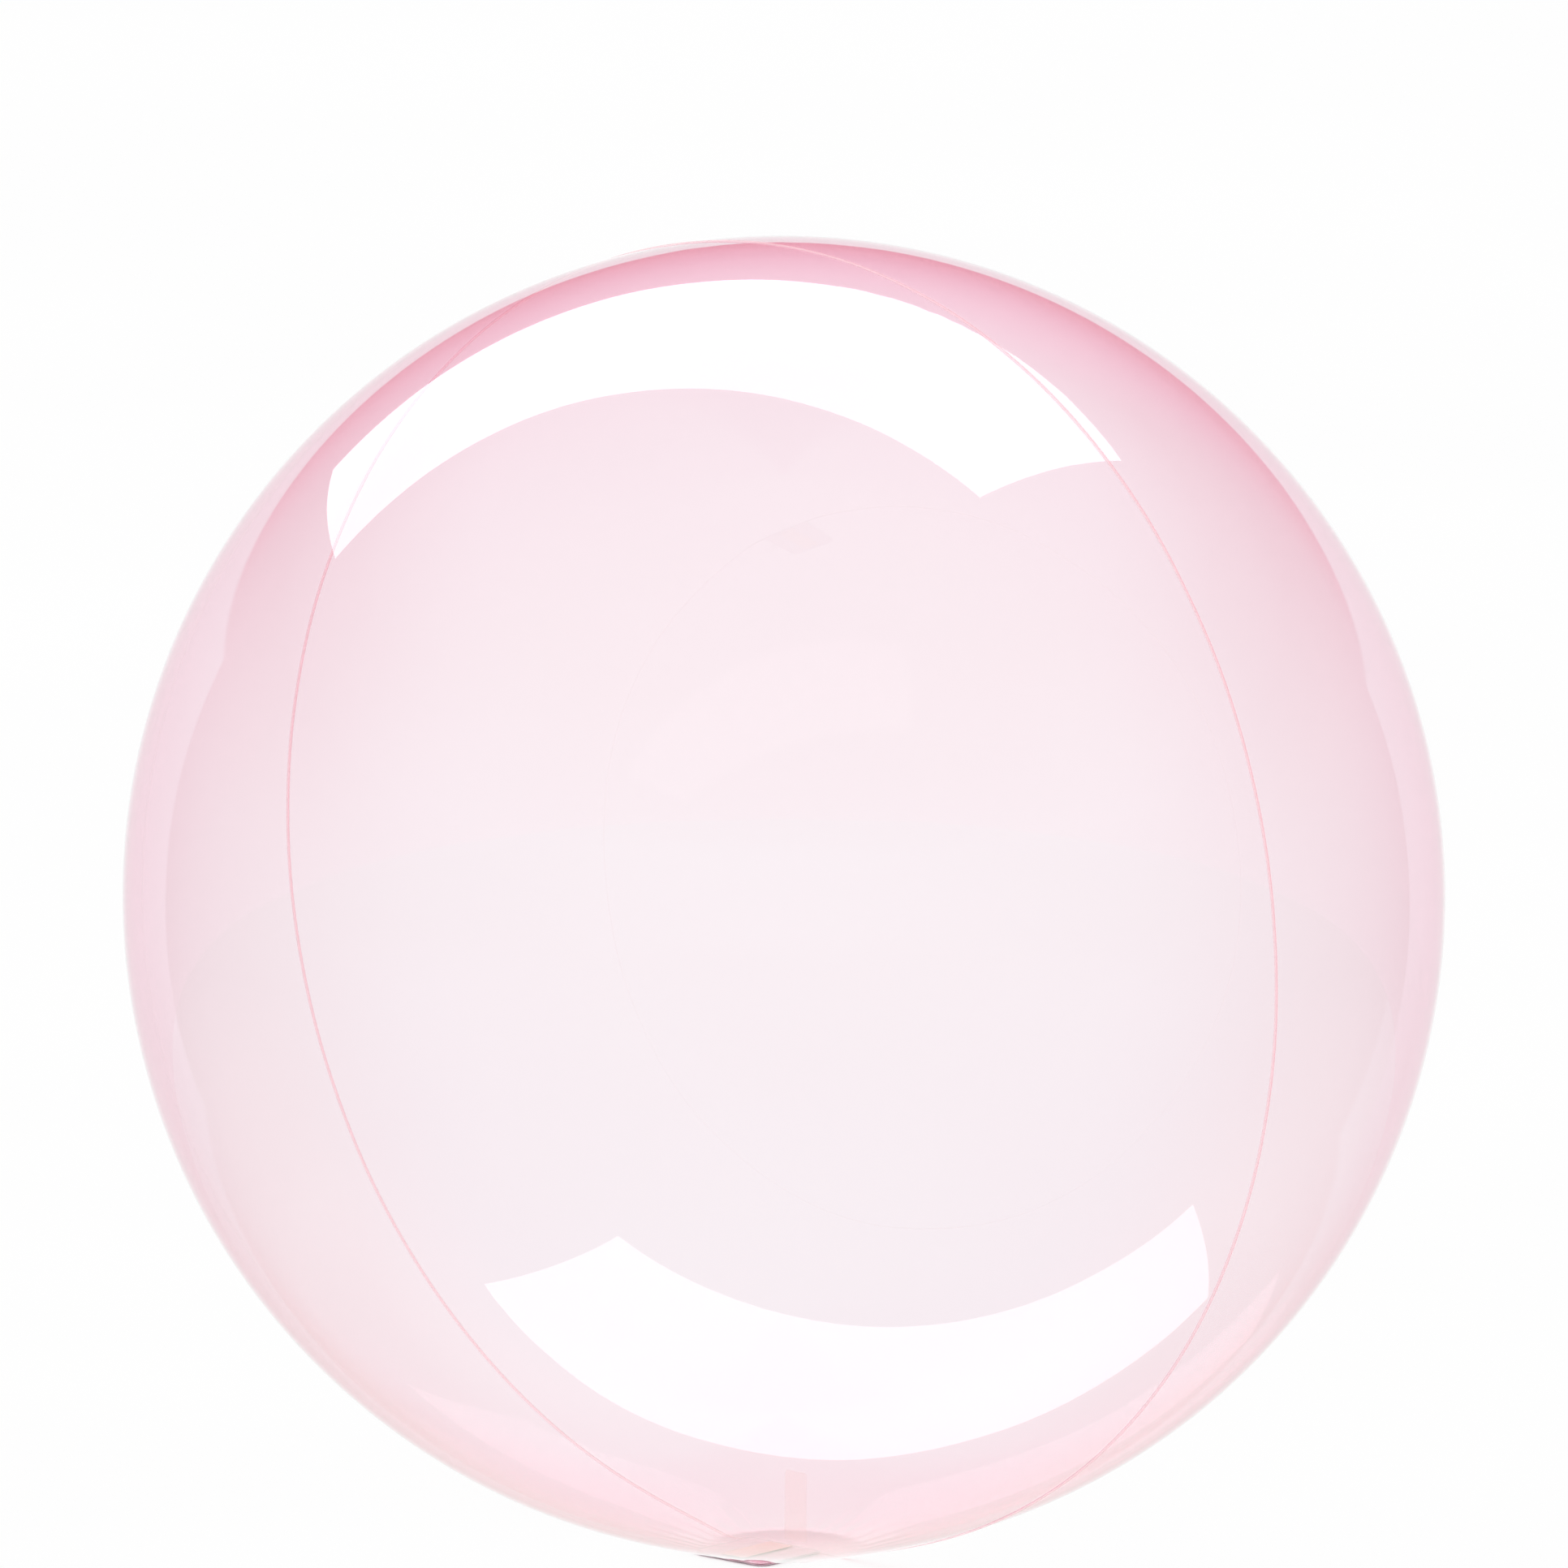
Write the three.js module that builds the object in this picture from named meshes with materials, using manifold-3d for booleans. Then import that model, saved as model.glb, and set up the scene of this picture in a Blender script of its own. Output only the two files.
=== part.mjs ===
// A clear bubble balloon, inflated, standing on the table on its folded tail.
//
// Two round panels of stretchy pink film are welded together round their rims, so the
// blown-up skin is one sealed ball with a weld ridge along a great circle. At the bottom
// the panels run out through a gathered neck into a flat tail, and a valve sleeve of
// film lies against the tail. The tail is folded flat under the ball, and the film round
// the neck rests on the table in a small flat spot.
//
// Millimetres, +Z up. The origin is on the table, at the middle of the flat spot. The
// weld runs in the XZ plane, and the tail lies towards -Y.

import * as THREE from 'three';
import { mergeVertices } from 'three/addons/utils/BufferGeometryUtils.js';
import Module from 'manifold-3d';

// The ball
const BALL_RADIUS = 250;
const CENTRE_HEIGHT = 251;      // of the ball's centre above the table
const FLAT_RADIUS = 30;         // of the flat spot that the ball rests on
const NECK_SPREAD = 35;         // how wide the neck draws the film down
const ROUND_STEPS = 72;         // facets round the ball
const PROFILE_STEPS = 32;       // facets from the neck's shoulder to the top
const SHOULDER_STEPS = 5;       // facets over the neck's shoulder
const SHOULDER_ANGLE = THREE.MathUtils.degToRad(20);

// The weld between the panels
const RIDGE_WIDTH = 2;
const RIDGE_HEIGHT = 0.8;

// The tail and the valve sleeve
const TAIL_WIDTH = 37;
const TAIL_LENGTH = 33;
const TAIL_THICKNESS = 0.8;
const TAIL_CORNER = 5;
const TAIL_CLEARANCE = 0.2;     // of the tail above the table
const NECK_STUB_HEIGHT = 3.2;   // where the tail turns up into the neck
const NECK_STUB_DEPTH = 1.4;
const SLEEVE_WIDTH = 12.4;
const SLEEVE_THICKNESS = 0.4;
const SLEEVE_MARGIN = 3;        // the sleeve stops short of the tail's ends
const GAP = 0.3;                // between pieces that touch
const OVERCUT = 20;             // how far a cutting shape runs past the ball

const wasm = await Module();
wasm.setup();

/** Turns a closed geometry into a manifold solid, joining the corners it shares. */
function toSolid(geometry) {
  const bare = geometry.clone();
  bare.deleteAttribute('normal');
  bare.deleteAttribute('uv');
  const merged = mergeVertices(bare, 1e-4);
  const corners = merged.index.array;
  const kept = [];
  for (let i = 0; i < corners.length; i += 3) {
    const [a, b, c] = [corners[i], corners[i + 1], corners[i + 2]];
    if (a !== b && b !== c && c !== a) kept.push(a, b, c);
  }
  return new wasm.Manifold(new wasm.Mesh({
    numProp: 3,
    vertProperties: new Float32Array(merged.attributes.position.array),
    triVerts: new Uint32Array(kept),
  }));
}

/** Turns a manifold solid back into a geometry. */
function toGeometry(solid) {
  const mesh = solid.getMesh();
  const geometry = new THREE.BufferGeometry();
  geometry.setAttribute('position', new THREE.BufferAttribute(mesh.vertProperties, 3));
  geometry.setIndex(new THREE.BufferAttribute(mesh.triVerts, 1));
  geometry.computeVertexNormals();
  return geometry;
}

/** A box from its lowest and highest corners. */
function boxBetween(low, high) {
  const size = new THREE.Vector3().subVectors(high, low);
  const middle = new THREE.Vector3().addVectors(low, high).multiplyScalar(0.5);
  return new THREE.BoxGeometry(size.x, size.y, size.z).translate(middle.x, middle.y, middle.z);
}

/** How far the neck pulls the film down at a distance from the axis. */
function neckPull(radius) {
  const sphereHeight = CENTRE_HEIGHT - Math.sqrt(BALL_RADIUS ** 2 - FLAT_RADIUS ** 2);
  const depth = sphereHeight / Math.exp(-((FLAT_RADIUS / NECK_SPREAD) ** 2));
  return depth * Math.exp(-((radius / NECK_SPREAD) ** 2));
}

/** The ball as a lathe about Z, standing proud of the film's surface by a distance. */
function ballGeometry(proud) {
  const radius = BALL_RADIUS + proud;
  const flatAngle = Math.asin(FLAT_RADIUS / BALL_RADIUS);
  const angles = [];
  for (let i = 0; i < SHOULDER_STEPS; i += 1) {
    angles.push(THREE.MathUtils.lerp(flatAngle, SHOULDER_ANGLE, i / SHOULDER_STEPS));
  }
  for (let i = 0; i < PROFILE_STEPS; i += 1) {
    angles.push(THREE.MathUtils.lerp(SHOULDER_ANGLE, Math.PI, i / PROFILE_STEPS));
  }
  const profile = [new THREE.Vector2(0, 0)];
  for (const angle of angles) {
    const outward = radius * Math.sin(angle);
    const height = CENTRE_HEIGHT - radius * Math.cos(angle) - neckPull(outward);
    profile.push(new THREE.Vector2(outward, Math.max(height, 0)));
  }
  profile.push(new THREE.Vector2(0, CENTRE_HEIGHT + radius));
  return new THREE.LatheGeometry(profile, ROUND_STEPS).rotateX(Math.PI / 2);
}

/** The sealed skin: the ball, its weld ridge, and the hollow that the tail lies in. */
function envelopeGeometry() {
  const ball = toSolid(ballGeometry(0));
  const weldPlane = toSolid(boxBetween(
    new THREE.Vector3(-BALL_RADIUS - OVERCUT, -RIDGE_WIDTH / 2, 0),
    new THREE.Vector3(BALL_RADIUS + OVERCUT, RIDGE_WIDTH / 2, 2 * BALL_RADIUS + OVERCUT),
  ));
  const ridge = toSolid(ballGeometry(RIDGE_HEIGHT)).intersect(weldPlane);

  const side = TAIL_WIDTH / 2 + GAP;
  const tailTop = TAIL_CLEARANCE + TAIL_THICKNESS;
  const slotTop = tailTop + GAP + SLEEVE_THICKNESS + GAP;
  const slot = toSolid(boxBetween(
    new THREE.Vector3(-side, -TAIL_LENGTH - OVERCUT, -OVERCUT),
    new THREE.Vector3(side, NECK_STUB_DEPTH / 2 + GAP, slotTop),
  ));
  const neckPocket = toSolid(boxBetween(
    new THREE.Vector3(-side, -NECK_STUB_DEPTH / 2 - GAP, -OVERCUT),
    new THREE.Vector3(side, NECK_STUB_DEPTH / 2 + GAP, NECK_STUB_HEIGHT + GAP),
  ));
  return toGeometry(ball.add(ridge).subtract(slot).subtract(neckPocket));
}

/** The flat tail, with its stub turned up into the neck. */
function tailGeometry() {
  const top = TAIL_CLEARANCE + TAIL_THICKNESS;
  const section = new THREE.Shape();
  section.moveTo(NECK_STUB_DEPTH / 2, TAIL_CLEARANCE);
  section.lineTo(NECK_STUB_DEPTH / 2, NECK_STUB_HEIGHT);
  section.lineTo(-NECK_STUB_DEPTH / 2, NECK_STUB_HEIGHT);
  section.lineTo(-NECK_STUB_DEPTH / 2, top);
  section.lineTo(-TAIL_LENGTH, top);
  section.lineTo(-TAIL_LENGTH, TAIL_CLEARANCE);
  section.closePath();
  // The section is drawn in Y and Z, and its length runs along X.
  const bent = new THREE.ExtrudeGeometry(section, { depth: TAIL_WIDTH, bevelEnabled: false });
  bent.translate(0, 0, -TAIL_WIDTH / 2);
  bent.applyMatrix4(new THREE.Matrix4().makeBasis(
    new THREE.Vector3(0, 1, 0), new THREE.Vector3(0, 0, 1), new THREE.Vector3(1, 0, 0),
  ));

  const side = TAIL_WIDTH / 2;
  const plan = new THREE.Shape();
  plan.moveTo(-side, OVERCUT);
  plan.lineTo(-side, -TAIL_LENGTH + TAIL_CORNER);
  const cornerY = -TAIL_LENGTH + TAIL_CORNER;
  plan.absarc(-side + TAIL_CORNER, cornerY, TAIL_CORNER, Math.PI, 1.5 * Math.PI);
  plan.absarc(side - TAIL_CORNER, cornerY, TAIL_CORNER, 1.5 * Math.PI, 2 * Math.PI);
  plan.lineTo(side, OVERCUT);
  plan.closePath();
  const outline = new THREE.ExtrudeGeometry(plan, {
    depth: 2 * OVERCUT, bevelEnabled: false, curveSegments: 5,
  }).translate(0, 0, -OVERCUT);
  return toGeometry(toSolid(bent).intersect(toSolid(outline)));
}

/** The valve sleeve: a strip of film along the middle of the tail. */
function sleeveGeometry() {
  const bottom = TAIL_CLEARANCE + TAIL_THICKNESS + GAP;
  return boxBetween(
    new THREE.Vector3(-SLEEVE_WIDTH / 2, -TAIL_LENGTH + SLEEVE_MARGIN, bottom),
    new THREE.Vector3(SLEEVE_WIDTH / 2, -NECK_STUB_DEPTH / 2 - GAP, bottom + SLEEVE_THICKNESS),
  );
}

/** One named piece with a see-through film material of its own. */
function filmPiece(name, geometry, color, opacity) {
  const material = new THREE.MeshStandardMaterial({
    color, opacity, transparent: true, roughness: 0.05, metalness: 0,
  });
  const mesh = new THREE.Mesh(geometry, material);
  mesh.name = name;
  return mesh;
}

const balloon = new THREE.Group();
balloon.add(
  filmPiece('envelope', envelopeGeometry(), '#f7dbe4', 0.35),
  filmPiece('tail', tailGeometry(), '#f7b9c8', 0.7),
  filmPiece('valve_sleeve', sleeveGeometry(), '#fcb9b0', 0.8),
);

export default balloon;
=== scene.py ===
"""A clear pink bubble balloon standing on its folded tail, in a plain white studio."""
import math

import bmesh
import bpy
from mathutils import Matrix, Vector, noise


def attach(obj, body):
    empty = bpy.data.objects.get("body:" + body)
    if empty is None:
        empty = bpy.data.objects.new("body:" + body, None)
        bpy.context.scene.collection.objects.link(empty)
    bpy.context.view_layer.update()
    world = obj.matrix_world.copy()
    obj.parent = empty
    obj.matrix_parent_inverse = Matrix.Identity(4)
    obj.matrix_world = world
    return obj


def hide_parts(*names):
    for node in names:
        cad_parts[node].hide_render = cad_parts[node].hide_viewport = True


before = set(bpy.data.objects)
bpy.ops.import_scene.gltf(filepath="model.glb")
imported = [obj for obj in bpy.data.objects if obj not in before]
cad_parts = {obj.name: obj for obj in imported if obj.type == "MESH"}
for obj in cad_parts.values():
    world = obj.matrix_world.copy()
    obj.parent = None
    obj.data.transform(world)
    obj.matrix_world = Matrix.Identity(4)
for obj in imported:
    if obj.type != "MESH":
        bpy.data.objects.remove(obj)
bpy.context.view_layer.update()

MM = 0.001

# The ball, as the solid part has it
BALL_RADIUS = 250 * MM
CENTRE = Vector((0, 0, 251 * MM))
FLAT_RADIUS = 30 * MM
NECK_SPREAD = 35 * MM

# The view
VIEW_AZIMUTH = math.radians(41.7)
VIEW_ELEVATION = math.radians(11.5)
VIEW_DISTANCE = 60 * BALL_RADIUS
VIEW_WIDTH = 592 * MM           # how much the camera takes in, side to side, at the ball
VIEW_LIFT = 42.7 * MM           # how far above the ball's centre it aims
SENSOR_WIDTH = 36               # the camera's own, in millimetres

TOWARD = Vector((math.sin(VIEW_AZIMUTH) * math.cos(VIEW_ELEVATION),
                 -math.cos(VIEW_AZIMUTH) * math.cos(VIEW_ELEVATION),
                 math.sin(VIEW_ELEVATION)))
RIGHT = Vector((math.cos(VIEW_AZIMUTH), math.sin(VIEW_AZIMUTH), 0))
UP = TOWARD.cross(RIGHT)


# ---------------------------------------------------------------- small helpers

def add_object(name, bm, material, smooth=True):
    """Turns a bmesh into an object that carries one material."""
    bmesh.ops.recalc_face_normals(bm, faces=bm.faces)
    for face in bm.faces:
        face.smooth = smooth
    mesh = bpy.data.meshes.new(name)
    bm.to_mesh(mesh)
    bm.free()
    mesh.materials.append(material)
    obj = bpy.data.objects.new(name, mesh)
    bpy.context.scene.collection.objects.link(obj)
    return obj


def smooth_step(low, high, value):
    """0 below low, 1 above high, and a soft rise between them."""
    t = min(max((value - low) / (high - low), 0.0), 1.0)
    return t * t * (3 - 2 * t)


def neck_pull(distance):
    """How far the neck draws the film down, at a distance from the ball's axis."""
    plain = CENTRE.z - math.sqrt(BALL_RADIUS ** 2 - FLAT_RADIUS ** 2)
    depth = plain * math.exp((FLAT_RADIUS / NECK_SPREAD) ** 2)
    return depth * math.exp(-(distance / NECK_SPREAD) ** 2)


class Nodes:
    """A node tree, with short ways to add its nodes."""

    def __init__(self, tree):
        self.tree = tree
        tree.nodes.clear()

    def add(self, kind, **settings):
        node = self.tree.nodes.new(kind)
        for name, value in settings.items():
            setattr(node, name, value)
        return node

    def put(self, socket, value):
        if isinstance(value, bpy.types.NodeSocket):
            self.tree.links.new(value, socket)
        elif isinstance(value, tuple) and len(value) == 3 and len(socket.default_value) == 4:
            socket.default_value = (*value, 1.0)
        else:
            socket.default_value = value

    def math(self, operation, *values):
        node = self.add("ShaderNodeMath", operation=operation)
        for socket, value in zip(node.inputs, values):
            self.put(socket, value)
        return node.outputs[0]

    def fade(self, value, start, end):
        node = self.add("ShaderNodeMapRange", interpolation_type="SMOOTHSTEP")
        for name, number in (("Value", value), ("From Min", start), ("From Max", end),
                             ("To Min", 0.0), ("To Max", 1.0)):
            self.put(node.inputs[name], number)
        return node.outputs[0]

    def mix(self, factor, first, second):
        node = self.add("ShaderNodeMix", data_type="RGBA")
        self.put(node.inputs[0], factor)
        self.put(node.inputs[6], first)
        self.put(node.inputs[7], second)
        return node.outputs[2]

    def ramp(self, value, stops):
        node = self.add("ShaderNodeValToRGB")
        self.put(node.inputs[0], value)
        elements = node.color_ramp.elements
        for element, (place, colour) in zip(elements, (stops[0], stops[-1])):
            element.position = place
            element.color = (*colour, 1)
        for place, colour in stops[1:-1]:
            elements.new(place).color = (*colour, 1)
        return node.outputs[0]

    def noise(self, coordinates, scale, detail=2.0, roughness=0.5):
        node = self.add("ShaderNodeTexNoise")
        self.put(node.inputs["Vector"], coordinates)
        node.inputs["Scale"].default_value = scale
        node.inputs["Detail"].default_value = detail
        node.inputs["Roughness"].default_value = roughness
        return node.outputs["Fac"]

    def bump(self, height, strength, distance):
        node = self.add("ShaderNodeBump")
        self.put(node.inputs["Height"], height)
        node.inputs["Strength"].default_value = strength
        node.inputs["Distance"].default_value = distance
        return node.outputs[0]

    def surface(self, **settings):
        """A Principled shader on the output. Underscores stand for spaces."""
        shader = self.add("ShaderNodeBsdfPrincipled")
        for name, value in settings.items():
            self.put(shader.inputs[name.replace("_", " ")], value)
        out = self.add("ShaderNodeOutputMaterial")
        self.tree.links.new(shader.outputs[0], out.inputs[0])


def new_material(name):
    material = bpy.data.materials.new(name)
    material.use_nodes = True
    return material, Nodes(material.node_tree)


# ---------------------------------------------------------------- materials

FILM_DEPTH = (0.022, 0.069, 0.050)    # how much red, green and blue one wall takes out
ROOT_TAKEN = 2.0                      # the shader shows the square root of its colour
EDGE_ON_LIMIT = 0.12                  # the film counts as no more edge-on than this
WALL_GLOSS = 1.8                      # index that gives the gloss of both its faces
PATCH_SCALE = 9.0                     # soft patches in the tint,
PATCH_RANGE = 0.16                    # and how much they vary it
FLOW_SCALE = 14.0                     # flow lines in the stretched film, and their height
FLOW_HEIGHT = 0.35
PUCKER_SCALE = 70.0                   # puckers beside the weld, and their height
PUCKER_HEIGHT = 0.25
PUCKER_STRETCH = 0.12                 # they are drawn out across the weld
PUCKER_NEAR = 2 * MM                  # full this close to it,
PUCKER_FAR = 30 * MM                  # and gone this far off
FILM_RELIEF = 0.4 * MM


def film_tint(nodes, coordinates):
    """The film's colour: a longer way through it, where it is seen edge-on, is pinker."""
    facing = nodes.add("ShaderNodeLayerWeight")
    facing.inputs["Blend"].default_value = 0.5
    head_on = nodes.math("SUBTRACT", 1.0, facing.outputs["Facing"])
    way = nodes.math("DIVIDE", ROOT_TAKEN, nodes.math("MAXIMUM", head_on, EDGE_ON_LIMIT))
    patches = nodes.noise(coordinates, PATCH_SCALE, 3.0)
    vary = nodes.math("MULTIPLY_ADD", patches, PATCH_RANGE, 1 - PATCH_RANGE / 2)
    way = nodes.math("MULTIPLY", way, vary)
    colour = nodes.add("ShaderNodeCombineColor")
    for socket, depth in zip(colour.inputs, FILM_DEPTH):
        nodes.put(socket, nodes.math("POWER", math.exp(-depth), way))
    return colour.outputs[0]


def film_bump(nodes, coordinates):
    """Faint flow in the stretched film, and fine puckers along the weld."""
    place = nodes.add("ShaderNodeSeparateXYZ")
    nodes.put(place.inputs[0], coordinates)
    off_weld = nodes.math("ABSOLUTE", place.outputs[1])
    beside_weld = nodes.math("SUBTRACT", 1.0, nodes.fade(off_weld, PUCKER_NEAR,
                                                              PUCKER_FAR))
    along = nodes.add("ShaderNodeVectorMath", operation="MULTIPLY")
    nodes.put(along.inputs[0], coordinates)
    along.inputs[1].default_value = (1.0, PUCKER_STRETCH, 1.0)
    puckers = nodes.noise(along.outputs[0], PUCKER_SCALE, 1.0)
    puckers = nodes.math("MULTIPLY", puckers, beside_weld)
    flow = nodes.noise(coordinates, FLOW_SCALE, 1.0)
    height = nodes.math("ADD", nodes.math("MULTIPLY", flow, FLOW_HEIGHT),
                        nodes.math("MULTIPLY", puckers, PUCKER_HEIGHT))
    return nodes.bump(height, 1.0, FILM_RELIEF)


def make_film():
    material, nodes = new_material("clear_film")
    where = nodes.add("ShaderNodeTexCoord").outputs["Object"]
    bump = film_bump(nodes, where)
    nodes.surface(Base_Color=film_tint(nodes, where), Roughness=0.0, IOR=1.0,
                  Transmission_Weight=1.0, Coat_Weight=1.0, Coat_Roughness=0.0,
                  Coat_IOR=WALL_GLOSS, Normal=bump, Coat_Normal=bump)
    return material


def make_weld():
    material, nodes = new_material("welded_edge")
    where = nodes.add("ShaderNodeTexCoord").outputs["Object"]
    across = nodes.add("ShaderNodeAttribute", attribute_name="across").outputs["Fac"]
    groove = nodes.math("SUBTRACT", 1.0, nodes.fade(nodes.math("ABSOLUTE", across),
                                                    0.15 * MM, 0.5 * MM))
    grain = nodes.noise(where, 400.0, 2.0)
    pale = nodes.mix(grain, (1.0, 0.72, 0.77), (1.0, 0.80, 0.84))
    nodes.surface(Base_Color=nodes.mix(groove, pale, (0.95, 0.45, 0.50)), Roughness=0.3,
                  Alpha=0.42, Specular_IOR_Level=0.3,
                  Normal=nodes.bump(grain, 0.15, 0.05 * MM))
    return material


def make_tail_film():
    material, nodes = new_material("tail_film")
    where = nodes.add("ShaderNodeTexCoord").outputs["Object"]
    crumple = nodes.noise(where, 160.0, 4.0)
    colour = nodes.mix(crumple, (0.98, 0.60, 0.72), (1.0, 0.84, 0.89))
    nodes.surface(Base_Color=colour, Roughness=nodes.math("MULTIPLY_ADD", crumple, 0.2, 0.1),
                  Alpha=0.72, Coat_Weight=0.3, Coat_Roughness=0.1,
                  Normal=nodes.bump(crumple, 0.5, 0.4 * MM))
    return material


def make_sleeve_film(name, alpha):
    material, nodes = new_material(name)
    where = nodes.add("ShaderNodeTexCoord").outputs["Object"]
    crumple = nodes.noise(where, 240.0, 3.0)
    colour = nodes.mix(crumple, (1.0, 0.52, 0.46), (1.0, 0.70, 0.62))
    nodes.surface(Base_Color=colour, Roughness=0.2, Alpha=alpha, Coat_Weight=0.8,
                  Coat_Roughness=0.06, Normal=nodes.bump(crumple, 0.4, 0.3 * MM))
    return material


# ---------------------------------------------------------------- the ball

ROUND_CUTS = 320
TALL_CUTS = 200
CROWDING = 1.25                 # crowds the rings of the mesh towards the neck
BROAD_SWELL = 0.30 * MM
SMALL_SWELL = 0.06 * MM
SMALL_SHIFT = Vector((3.1, 0.7, 5.9))
FILM_INSET = 0.15 * MM          # how far the film's middle level lies inside the radius
CALM_FROM = 90 * MM             # the film evens out from here, measured off the axis,
CALM_TO = 20 * MM               # and is even from here to the neck
PLEATS = 34
PLEAT_WANDER = 2.2              # how unevenly the pleats are spaced
PLEAT_DEPTH = 0.07 * MM
PLEAT_RING = 34 * MM            # they are deepest this far off the axis,
PLEAT_REACH = 14 * MM           # and fade over this


def film_swell(point):
    """Gentle unevenness of the stretched film, in metres outwards."""
    broad = noise.noise(point * 5.0) * BROAD_SWELL
    small = noise.noise(point * 14.0 + SMALL_SHIFT) * SMALL_SWELL
    return broad + small


def make_ball(material):
    bm = bmesh.new()
    bmesh.ops.create_uvsphere(bm, u_segments=ROUND_CUTS, v_segments=TALL_CUTS,
                              radius=BALL_RADIUS)
    for vert in bm.verts:
        out = vert.co.normalized()
        low = math.acos(max(-1.0, min(1.0, -out.z))) / math.pi
        low = low ** CROWDING
        level = math.hypot(out.x, out.y)
        spread = math.sin(low * math.pi) / level if level > 1e-6 else 0.0
        out = Vector((out.x * spread, out.y * spread, -math.cos(low * math.pi)))
        vert.co = out * BALL_RADIUS
        round_axis = math.hypot(vert.co.x, vert.co.y)
        calm = smooth_step(CALM_TO, CALM_FROM, round_axis) if out.z < 0 else 1.0
        vert.co += out * (film_swell(vert.co) - FILM_INSET) * calm
        vert.co += CENTRE
        if out.z < 0:
            angle = math.atan2(vert.co.y, vert.co.x)
            pleat = math.cos(PLEATS * angle + PLEAT_WANDER * math.sin(3 * angle))
            depth = PLEAT_DEPTH * math.exp(-((round_axis - PLEAT_RING) / PLEAT_REACH) ** 2)
            vert.co.z += depth * (pleat + 0.4) - neck_pull(round_axis)
            vert.co.z = max(vert.co.z, 0.0)
    bmesh.ops.remove_doubles(bm, verts=bm.verts, dist=0.001 * MM)
    return add_object("film_ball", bm, material)


# The weld's section, in millimetres: how far it stands proud, and how far off its middle
WELD_PROFILE = ((-0.20, -0.70), (0.10, -0.72), (0.34, -0.60), (0.42, -0.40), (0.30, -0.15),
                (0.25, 0.00), (0.30, 0.15), (0.42, 0.40), (0.34, 0.60), (0.10, 0.72),
                (-0.20, 0.70), (-0.26, 0.00))
WELD_CUTS = 480
WELD_BOW = 4 * MM               # how far it bows sideways, halfway up
WELD_WANDER = 0.3 * MM          # and how far it strays from that


def make_weld_bead(material):
    bm = bmesh.new()
    points = []
    for proud, across in WELD_PROFILE:
        points.append(bm.verts.new((BALL_RADIUS + proud * MM, across * MM, 0)))
    loop = [bm.edges.new((a, b)) for a, b in zip(points, points[1:] + points[:1])]
    bmesh.ops.spin(bm, geom=points + loop, cent=(0, 0, 0), axis=(0, 1, 0),
                   angle=2 * math.pi, steps=WELD_CUTS, use_merge=True)
    across_layer = bm.verts.layers.float.new("across")
    for vert in bm.verts:
        vert[across_layer] = vert.co.y
        out = Vector((vert.co.x, 0, vert.co.z)).normalized()
        vert.co += out * (film_swell(out * BALL_RADIUS) - FILM_INSET)
        vert.co.y += WELD_WANDER * noise.noise(out * 6.0) - WELD_BOW * (1 - out.z ** 2)
        vert.co += CENTRE
        if out.z < 0:
            vert.co.z = max(vert.co.z - neck_pull(abs(vert.co.x)), 0.0)
    return add_object("weld_bead", bm, material)


# ---------------------------------------------------------------- the tail

TAIL_HALF = 18.2 * MM
TAIL_NEAR = 0.4 * MM            # its edge under the neck, and its free end
TAIL_END = -32.6 * MM
TAIL_CORNER = 5 * MM
TAIL_THICK = 0.12 * MM
LOWER_LEVEL = 0.45 * MM         # the heights of its two layers, and of the sleeve on them
UPPER_LEVEL = 0.95 * MM
SLEEVE_LEVEL = 1.45 * MM
SLEEVE_HALF = 6.1 * MM
SLEEVE_NEAR = -1.2 * MM
SLEEVE_END = -29.8 * MM
SLEEVE_CORNER = 1 * MM
SLEEVE_THICK = 0.1 * MM
SLEEVE_CUTS = (14, 28)
INNER_HALF = 5.5 * MM           # the sleeve's upper end, which stands inside the ball
INNER_LENGTH = 27 * MM
INNER_PLACE = (6 * MM, 0, 3 * MM)


def film_strip(name, half, near, far, level, corner, thick, crumple, material, cuts=(36, 32)):
    """A flat strip of film in the XY plane, crumpled, with its far corners rounded."""
    bm = bmesh.new()
    bmesh.ops.create_grid(bm, x_segments=cuts[0], y_segments=cuts[1], size=1.0)
    for vert in bm.verts:
        x = vert.co.x * half
        y = near + (far - near) * (vert.co.y + 1) / 2
        past = abs(y - far)
        if past < corner:
            inset = corner - math.sqrt(max(corner ** 2 - (corner - past) ** 2, 0.0))
            x *= (half - inset) / half
        wave = noise.noise(Vector((x * 150, y * 60, level * 900)))
        wave += 0.5 * noise.noise(Vector((x * 340, y * 300, level * 700)))
        vert.co = Vector((x, y, level + crumple * wave))
    faces = bm.faces[:]
    bmesh.ops.solidify(bm, geom=faces, thickness=thick)
    return add_object(name, bm, material)


# ---------------------------------------------------------------- build

film = make_film()
weld_film = make_weld()
tail_film = make_tail_film()
sleeve_film = make_sleeve_film("sleeve_film", 0.85)
inner_film = make_sleeve_film("inner_sleeve_film", 0.10)

ball = make_ball(film)
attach(ball, "root")
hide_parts("envelope")
ball.visible_shadow = False
ball.visible_diffuse = False

bead = make_weld_bead(weld_film)
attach(bead, "root")
bead.visible_shadow = False

tail = film_strip("tail_lower", TAIL_HALF, TAIL_NEAR, TAIL_END, LOWER_LEVEL, TAIL_CORNER,
                  TAIL_THICK, 0.18 * MM, tail_film)
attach(tail, "root")
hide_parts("tail")

inner = film_strip("inner_sleeve", INNER_HALF, 0, -INNER_LENGTH, 0, SLEEVE_CORNER,
                   SLEEVE_THICK, 0.25 * MM, inner_film, SLEEVE_CUTS)
inner.data.transform(Matrix.Translation(INNER_PLACE) @
                     Matrix.Rotation(math.radians(-90), 4, "X"))
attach(inner, "root")
inner.visible_shadow = False

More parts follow.
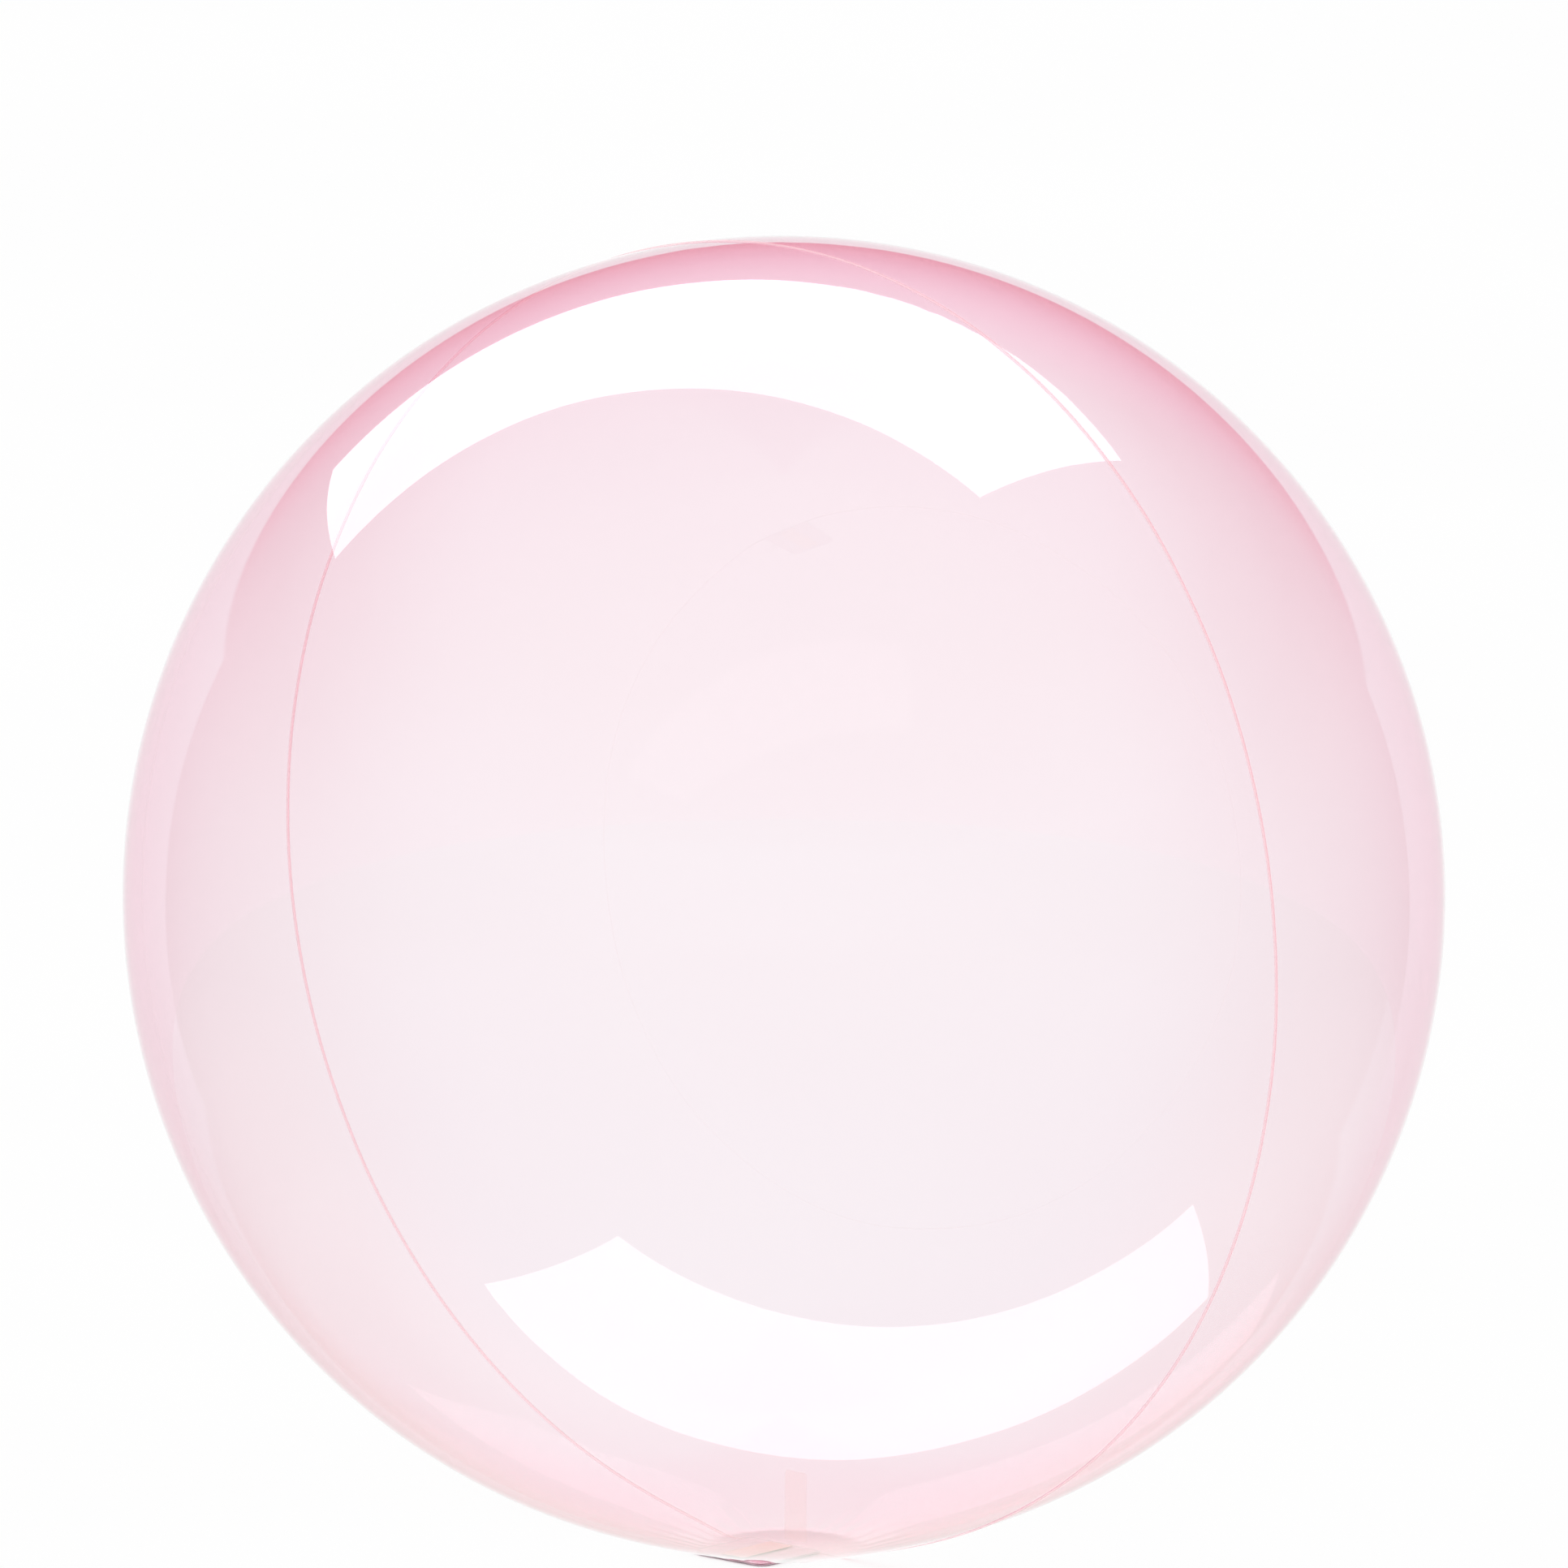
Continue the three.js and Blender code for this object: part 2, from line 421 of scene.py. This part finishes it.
tail_top = film_strip("tail_upper", TAIL_HALF, TAIL_NEAR, TAIL_END, UPPER_LEVEL,
                      TAIL_CORNER, TAIL_THICK, 0.22 * MM, tail_film)
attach(tail_top, "root")

sleeve = film_strip("sleeve", SLEEVE_HALF, SLEEVE_NEAR, SLEEVE_END, SLEEVE_LEVEL,
                    SLEEVE_CORNER, SLEEVE_THICK, 0.1 * MM, sleeve_film, SLEEVE_CUTS)
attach(sleeve, "root")
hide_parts("valve_sleeve")

# ---------------------------------------------------------------- studio

def look_frame(across, up, back, place):
    """A matrix from an object's own axes and place."""
    turn = Matrix((across, up, back)).transposed().to_4x4()
    return Matrix.Translation(place) @ turn


def make_camera():
    """A camera with a long lens, aimed a little above the ball's centre."""
    data = bpy.data.cameras.new("camera")
    data.sensor_width = SENSOR_WIDTH
    data.lens = SENSOR_WIDTH * VIEW_DISTANCE / VIEW_WIDTH
    camera = bpy.data.objects.new("camera", data)
    bpy.context.scene.collection.objects.link(camera)
    tilt = math.atan(VIEW_LIFT / VIEW_DISTANCE)
    up = UP * math.cos(tilt) + TOWARD * math.sin(tilt)
    back = TOWARD * math.cos(tilt) - UP * math.sin(tilt)
    camera.matrix_world = look_frame(RIGHT, up, back, CENTRE + TOWARD * VIEW_DISTANCE)
    bpy.context.scene.camera = camera


def area_lamp(name, place, long_axis, facing, size, radiance):
    """A plain rectangular lamp. place is from the ball's centre, in view axes."""
    data = bpy.data.lights.new(name, "AREA")
    data.shape = "RECTANGLE"
    data.size, data.size_y = size
    data.energy = radiance * math.pi * size[0] * size[1]
    lamp = bpy.data.objects.new(name, data)
    bpy.context.scene.collection.objects.link(lamp)

    def turned(v):
        return RIGHT * v[0] + UP * v[1] + TOWARD * v[2]

    across = turned(long_axis).normalized()
    down = turned(facing)
    down = (down - across * down.dot(across)).normalized()
    lamp.matrix_world = look_frame(across, (-down).cross(across), -down,
                                   CENTRE + turned(place))
    return lamp


PAPER_LEFT = math.radians(-43.2)      # the white paper behind the ball: its sides, as
PAPER_RIGHT = math.radians(39.3)      # turns off straight back,
PAPER_TOP = math.radians(6.3)         # its top, above the horizon,
PAPER_LEAN = -0.05                    # how its top falls towards the right,
PAPER_FLOOR = math.radians(-10)       # and where it starts to run into the floor
PAPER_END = math.radians(-30)
EDGE_BLUR = math.radians(0.6)
PAPER_WHITE = (1.07, 1.12, 1.11)
PLAIN_WHITE = (1.0, 1.0, 1.0)

# What the film mirrors, from straight down to straight up: degrees above the horizon, and
# the colour there. These colours are seen only in reflections, so they are a painted
# reflection.
# Below the horizon they are pale and stand in for the white floor. Above it they are mostly
# rosy, a painted colour that gives the film its deeper pink near the rim.
PAINTED_REFLECTION_BACK = ((-70, (1.20, 1.22, 1.12)), (-35, (1.17, 1.27, 1.14)), (-12, (1.03, 0.98, 0.96)),
             (8, (0.92, 0.36, 0.43)), (18, (0.98, 0.38, 0.52)), (30, (1.12, 0.50, 0.70)),
             (55, (1.03, 0.68, 0.82)))
PAINTED_REFLECTION_SIDES = ((-35, (1.20, 1.42, 1.30)), (-12, (0.82, 0.82, 0.78)), (3, (0.86, 0.72, 0.72)),
              (9, (0.87, 0.62, 0.63)), (18, (0.80, 0.42, 0.47)), (30, (0.86, 0.42, 0.50)),
              (48, (1.12, 0.84, 0.95)))
PAINTED_REFLECTION_FRONT = ((-60, (0.85, 1.25, 1.20)), (-25, (0.82, 1.05, 1.08)), (0, (0.90, 0.92, 0.93)),
              (18, (1.12, 1.10, 1.14)), (45, (1.12, 0.92, 0.95)), (80, (1.15, 0.92, 1.00)))

# Where one part of the painted reflection runs into the next, as the cosine of the turn off
# straight back
SIDES_TO_BACK = (0.80, 0.98)
FRONT_TO_SIDES = (-0.5, 0.4)


def make_world():
    """The studio: plain white to look at, and in reflections only white paper and painted
    reflection colours, rosy above the horizon.
    """
    world = bpy.data.worlds.new("studio")
    bpy.context.scene.world = world
    world.use_nodes = True
    nodes = Nodes(world.node_tree)
    turn = nodes.add("ShaderNodeVectorRotate", rotation_type="Z_AXIS")
    nodes.put(turn.inputs["Vector"], nodes.add("ShaderNodeTexCoord").outputs["Generated"])
    turn.inputs["Angle"].default_value = -VIEW_AZIMUTH
    split = nodes.add("ShaderNodeSeparateXYZ")
    nodes.put(split.inputs[0], turn.outputs[0])
    side, back, rise = split.outputs

    azimuth = nodes.math("ARCTAN2", side, back)
    height = nodes.math("ARCSINE", rise)
    top = nodes.math("MULTIPLY_ADD", azimuth, PAPER_LEAN, PAPER_TOP)
    over = nodes.math("SUBTRACT", height, top)
    on_paper = nodes.fade(over, EDGE_BLUR, -EDGE_BLUR)
    for edge, blur in ((PAPER_LEFT, EDGE_BLUR), (PAPER_RIGHT, -EDGE_BLUR)):
        inside = nodes.fade(azimuth, edge - blur, edge + blur)
        on_paper = nodes.math("MULTIPLY", on_paper, inside)
    above_floor = nodes.fade(height, PAPER_END, PAPER_FLOOR)
    on_paper = nodes.math("MULTIPLY", on_paper, above_floor)

    level = nodes.math("MULTIPLY_ADD", rise, 0.5, 0.5)
    # Painted reflection colours for the back, the sides and the front, blended by the turn
    # off straight back
    painted_reflection_ramps = []
    for heights in (PAINTED_REFLECTION_BACK, PAINTED_REFLECTION_SIDES, PAINTED_REFLECTION_FRONT):
        painted_reflection_ramps.append(nodes.ramp(level, [(0.5 + 0.5 * math.sin(math.radians(degrees)), colour)
                                        for degrees, colour in heights]))
    straight_back = nodes.math("COSINE", azimuth)
    painted_reflection = nodes.mix(nodes.fade(straight_back, *SIDES_TO_BACK), painted_reflection_ramps[1], painted_reflection_ramps[0])
    painted_reflection = nodes.mix(nodes.fade(straight_back, *FRONT_TO_SIDES), painted_reflection_ramps[2], painted_reflection)
    mirrored = nodes.mix(on_paper, painted_reflection, PAPER_WHITE)

    # Painted reflection: camera rays and diffuse light see plain white, and only rays
    # mirrored at least once see the paper and the painted colours
    path = nodes.add("ShaderNodeLightPath")
    in_mirror = nodes.fade(path.outputs["Glossy Depth"], 0.4, 0.6)
    shown = nodes.mix(in_mirror, PLAIN_WHITE, mirrored)
    background = nodes.add("ShaderNodeBackground")
    nodes.put(background.inputs[0], shown)
    out = nodes.add("ShaderNodeOutputWorld")
    nodes.tree.links.new(background.outputs[0], out.inputs[0])


FLOOR_RADIUS = 6.0
FLOOR_LEVEL = -0.3 * MM

# The one lamp: its place from the ball's centre, the way its long side runs and the way it
# shines, all as right, up and towards the camera, then its size in metres and its brightness
SOFTBOX_PLACE = (-0.21, 1.03, -0.433)
SOFTBOX_LONG = (0.908, 0.085, 0.410)
SOFTBOX_FACING = (0.057, -0.995, 0.080)
SOFTBOX_SIZE = (2.02, 0.72)
SOFTBOX_RADIANCE = 2.15


def make_floor():
    bm = bmesh.new()
    bmesh.ops.create_circle(bm, cap_ends=True, segments=96, radius=FLOOR_RADIUS)
    bmesh.ops.translate(bm, verts=bm.verts, vec=(0, 0, FLOOR_LEVEL))
    material, nodes = new_material("pale_floor")
    where = nodes.add("ShaderNodeTexCoord").outputs["Object"]
    shade = nodes.mix(nodes.noise(where, 3.0), (0.985, 0.985, 0.985), (1.0, 1.0, 1.0))
    nodes.surface(Base_Color=shade, Roughness=0.9, Specular_IOR_Level=0.0)
    floor = add_object("floor", bm, material, smooth=False)
    floor.visible_glossy = False


make_camera()
make_world()
make_floor()
softbox = area_lamp("softbox", SOFTBOX_PLACE, SOFTBOX_LONG, SOFTBOX_FACING, SOFTBOX_SIZE,
                    SOFTBOX_RADIANCE)
softbox.visible_camera = False
softbox.visible_diffuse = False
bpy.context.scene.view_settings.view_transform = "Standard"
